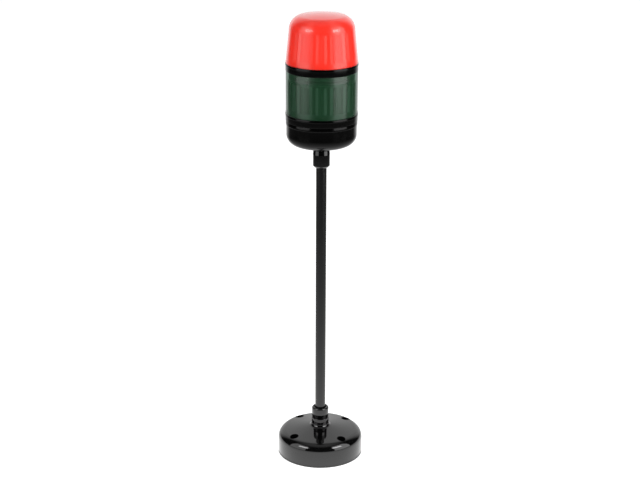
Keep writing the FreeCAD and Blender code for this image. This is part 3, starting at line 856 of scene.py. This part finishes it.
def add_green_lens():
    """Straight lens: bead at the foot, prisms along the wall, bayonet socket at the top."""
    base, top = low("green_lens"), high("green_lens")
    inner = head_radius - lens_wall
    socket = top - (ledge_below_rim + ledge_thickness + run + lug_thickness + skirt_foot) - socket_room
    outside = rounded([
        (inner, base),
        *lens_foot(base),
        (head_radius, top, FINE),
        (bayonet_bore_radius, top),
    ])
    wall = [
        (bayonet_bore_radius, socket),
        (inner - prism_depth, socket),
        (inner - prism_depth, socket - socket_land),
        (inner, socket - socket_slope),
        (inner, base + prism_margin + prism_run_in),
        (inner, base + prism_margin),
    ]
    outline = [Vector(point[:2]) for point in outside + wall]
    depths = [0] * (len(outside) + 3) + [prism_depth, prism_depth, 0]
    mesh = lens_mesh(outline, depths, (len(outside) - 1, len(outline)))
    mesh = combined(mesh, joined(ledge_meshes(top, ledge_grip)), "UNION", True)
    piece("green_lens_smooth", mesh, "green_lens", 24)


def dome_profile(top, inset):
    """Outline of the dome from its side to the crown, moved in by inset."""
    shoulder = dome_shoulder_radius - inset
    turn = math.radians(dome_shoulder_angle)
    centre_r = dome_top_radius - dome_shoulder_radius
    centre_z = top - dome_crown_rise - dome_shoulder_radius * math.sin(turn)
    edge = centre_r + shoulder * math.cos(turn)
    crown = (edge ** 2 + dome_crown_rise ** 2) / (2 * dome_crown_rise)
    half = math.degrees(math.asin(edge / crown))
    return (arc(centre_r, centre_z, shoulder, 0, dome_shoulder_angle, 24)
            + arc(0, top - inset - crown, crown, 90 - half, 90, 16)[1:])


def add_red_lens():
    """Dome lens: tapered side, round shoulder, raised crown and prisms in the side wall."""
    base, top = low("red_lens"), high("red_lens")
    inner = head_radius - lens_wall
    outside = [Vector(point[:2]) for point in rounded([(0, base)] + lens_foot(base))[1:]]
    outside += [Vector(point) for point in dome_profile(top, 0.0)]
    inside = [Vector(point) for point in reversed(dome_profile(top, lens_wall))]
    shoulder = inside[-1]
    start = Vector((inner, base + prism_margin))
    end = (start - shoulder) * prism_end_share
    wall = [shoulder, shoulder + end, start - end, start, Vector((inner, base))]
    outline = outside + inside[:-1] + wall
    depths = [0] * (len(outside) + len(inside)) + [prism_depth, prism_depth, 0, 0]
    piece("red_lens_smooth", lens_mesh(outline, depths, (len(outside), len(outline) - 1)), "red_lens", 24)


def add_smooth_pieces():
    add_gasket()
    add_foot()
    add_pole()
    add_lower_sleeve()
    add_upper_sleeve()
    add_base_housing()
    add_module_base("green_module_base", high("base_housing") + seam)
    add_module_base("red_module_base", high("green_lens") + seam)
    add_green_lens()
    add_red_lens()


# ---- Studio -----------------------------------------------------------------------------
PAINTED_TABLE_LIGHT = 2.0           # painted light: brightness of the table in reflections, at the object
PAINTED_LIGHT_FALL = 0.067          # share of that painted light that is left one metre away
PAPER_GLOW = 0.72           # lifts the floor to white where the camera sees it
BACKDROP_EDGE = (0.6, 0.86)  # share of the direction that leads away from the camera
BACKDROP_LEAN = 0.4         # how much sooner it begins high up
CEILING_EDGE = (0.78, 0.99)  # share of the direction that leads up
CEILING_LIGHT = 0.5
ROOM_LIGHT = 0.02           # the rest of the room in reflections
AIM_HEIGHT = 0.85           # of the point on the pole's axis that the higher lamps face
LAMPS = (                   # name, azimuth, distance, height, (width, tallness), radiance, mirrored
    ("softbox_left", -62, 1.3, 0.85, (1.1, 1.66), 1.6, True),
    ("softbox_right", 62, 1.3, 0.85, (1.1, 1.66), 2.6, True),
    ("spot_left", -50, 1.25, 0.9, (0.65, 0.38), 7.0, True),
    ("spot_right", 51, 1.25, 0.9, (0.65, 0.38), 8.0, True),
    ("front_fill", 0, 1.6, 1.5, (1.2, 1.2), 0.8, False),
)


def from_camera(azimuth, distance, height):
    """A point at an azimuth from the camera's side, counted to the camera's right."""
    turn = math.radians(VIEW_AZIMUTH + azimuth)
    return Vector((distance * math.sin(turn), -distance * math.cos(turn), height))


def turned_to_camera(owner, kind, unit=False):
    """Coordinates of a kind, turned about Z so that Y leads away from the camera, and split."""
    place = add_node(owner, "ShaderNodeTexCoord")
    turned = add_node(owner, "ShaderNodeMapping")
    turned.inputs["Rotation"].default_value = (0, 0, math.radians(-VIEW_AZIMUTH))
    link(owner, place.outputs[kind], turned.inputs["Vector"])
    vector = turned.outputs["Vector"]
    if unit:
        direction = add_node(owner, "ShaderNodeVectorMath", operation="NORMALIZE")
        link(owner, vector, direction.inputs[0])
        vector = direction.outputs["Vector"]
    split = add_node(owner, "ShaderNodeSeparateXYZ")
    link(owner, vector, split.inputs["Vector"])
    return split


def distance_from_centre(owner):
    """Distance from the piece's own centre."""
    place = add_node(owner, "ShaderNodeTexCoord")
    reach = add_node(owner, "ShaderNodeVectorMath", operation="LENGTH")
    link(owner, place.outputs["Object"], reach.inputs[0])
    return reach.outputs["Value"]


def add_floor():
    """Pale floor, white to the camera. In reflections its own colour is black, and it shows a painted pool of
    light near the object, standing for a lit table and fading with the distance, and white behind it.
    """
    mesh = bpy.data.meshes.new("floor")
    builder = bmesh.new()
    bmesh.ops.create_circle(builder, cap_ends=True, segments=96, radius=6.0)
    builder.to_mesh(mesh)
    builder.free()
    floor = bpy.data.objects.new("floor", mesh)
    bpy.context.scene.collection.objects.link(floor)
    material, shader = new_material("floor_paper")
    shader.inputs["Roughness"].default_value = 1.0
    shader.inputs["Specular IOR Level"].default_value = 0.0
    split = turned_to_camera(material, "Object", unit=True)
    behind = remap(material, split.outputs["Y"], 0.0, 1.0, *BACKDROP_EDGE)
    # painted light: a pool on the floor, seen only in reflections, that falls off with the distance from the
    # object
    painted_pool = maths(material, "POWER", PAINTED_LIGHT_FALL, distance_from_centre(material))
    mirrored = maths(material, "MAXIMUM", maths(material, "MULTIPLY", painted_pool, PAINTED_TABLE_LIGHT), behind)
    path = add_node(material, "ShaderNodeLightPath")
    seen = maths(material, "MULTIPLY", path.outputs["Is Glossy Ray"], mirrored)
    for kind in ("Is Camera Ray", "Is Transmission Ray"):
        seen = maths(material, "ADD", seen, maths(material, "MULTIPLY", path.outputs[kind], PAPER_GLOW))
    shader.inputs["Emission Color"].default_value = (1, 1, 1, 1)
    link(material, seen, shader.inputs["Emission Strength"])
    # painted shade: the floor's own colour is black in reflections, so they show only the painted pool and
    # the white behind the object
    paper_black_in_gloss = add_node(material, "ShaderNodeMix", data_type="RGBA")
    paper_black_in_gloss.inputs["A"].default_value = (0.8, 0.8, 0.8, 1)
    paper_black_in_gloss.inputs["B"].default_value = (0, 0, 0, 1)
    link(material, path.outputs["Is Glossy Ray"], paper_black_in_gloss.inputs["Factor"])
    link(material, paper_black_in_gloss.outputs["Result"], shader.inputs["Base Color"])
    mesh.materials.append(material)


def add_world():
    """White for the camera. Reflections show a dark room with a white backdrop and a pale ceiling."""
    world = bpy.data.worlds.new("studio")
    world.use_nodes = True
    background = world.node_tree.nodes["Background"]
    split = turned_to_camera(world, "Generated")
    lean = maths(world, "MULTIPLY", split.outputs["Z"], BACKDROP_LEAN)
    back = maths(world, "ADD", lean, split.outputs["Y"])
    backdrop = remap(world, back, ROOM_LIGHT, 1.0, *BACKDROP_EDGE)
    ceiling = remap(world, split.outputs["Z"], ROOM_LIGHT, CEILING_LIGHT, *CEILING_EDGE)
    room = maths(world, "MAXIMUM", backdrop, ceiling)
    path = add_node(world, "ShaderNodeLightPath")
    strength = maths(world, "MAXIMUM", path.outputs["Is Camera Ray"], room)
    background.inputs["Color"].default_value = (1, 1, 1, 1)
    link(world, strength, background.inputs["Strength"])
    bpy.context.scene.world = world


def add_softbox(name, azimuth, distance, height, size, radiance, mirrored):
    """A rectangular area light that the camera never sees, and gloss only if mirrored.

    Low ones stand upright, and higher ones look down at AIM_HEIGHT on the pole's axis.
    """
    data = bpy.data.lights.new(name, "AREA")
    data.shape = "RECTANGLE"
    data.size, data.size_y = size
    data.energy = radiance * math.pi * size[0] * size[1]
    lamp = bpy.data.objects.new(name, data)
    lamp.location = from_camera(azimuth, distance, height)
    aim = Vector((0, 0, min(height, AIM_HEIGHT)))
    lamp.rotation_euler = (aim - lamp.location).to_track_quat("-Z", "Y").to_euler()
    lamp.visible_camera = False
    lamp.visible_glossy = mirrored
    bpy.context.scene.collection.objects.link(lamp)


def add_lights():
    """Tall softboxes and smaller bright ones at both sides, and an even front light that gloss misses."""
    for lamp in LAMPS:
        add_softbox(*lamp)


def add_camera():
    data = bpy.data.cameras.new("camera")
    data.lens = LENS_MM
    data.sensor_width = SENSOR_MM
    data.shift_x = VIEW_SHIFT
    camera = bpy.data.objects.new("camera", data)
    camera.location = from_camera(0, VIEW_DISTANCE, VIEW_HEIGHT)
    aim = Matrix.Rotation(math.radians(VIEW_AZIMUTH), 4, "Z")
    tilt = Matrix.Rotation(math.radians(90 - VIEW_PITCH), 4, "X")
    roll = Matrix.Rotation(math.radians(VIEW_ROLL), 4, "Z")
    camera.rotation_euler = (aim @ tilt @ roll).to_euler()
    bpy.context.scene.collection.objects.link(camera)
    bpy.context.scene.camera = camera


dress_frame()
add_smooth_pieces()
add_floor()
add_world()
add_lights()
add_camera()
bpy.context.scene.view_settings.view_transform = "Standard"
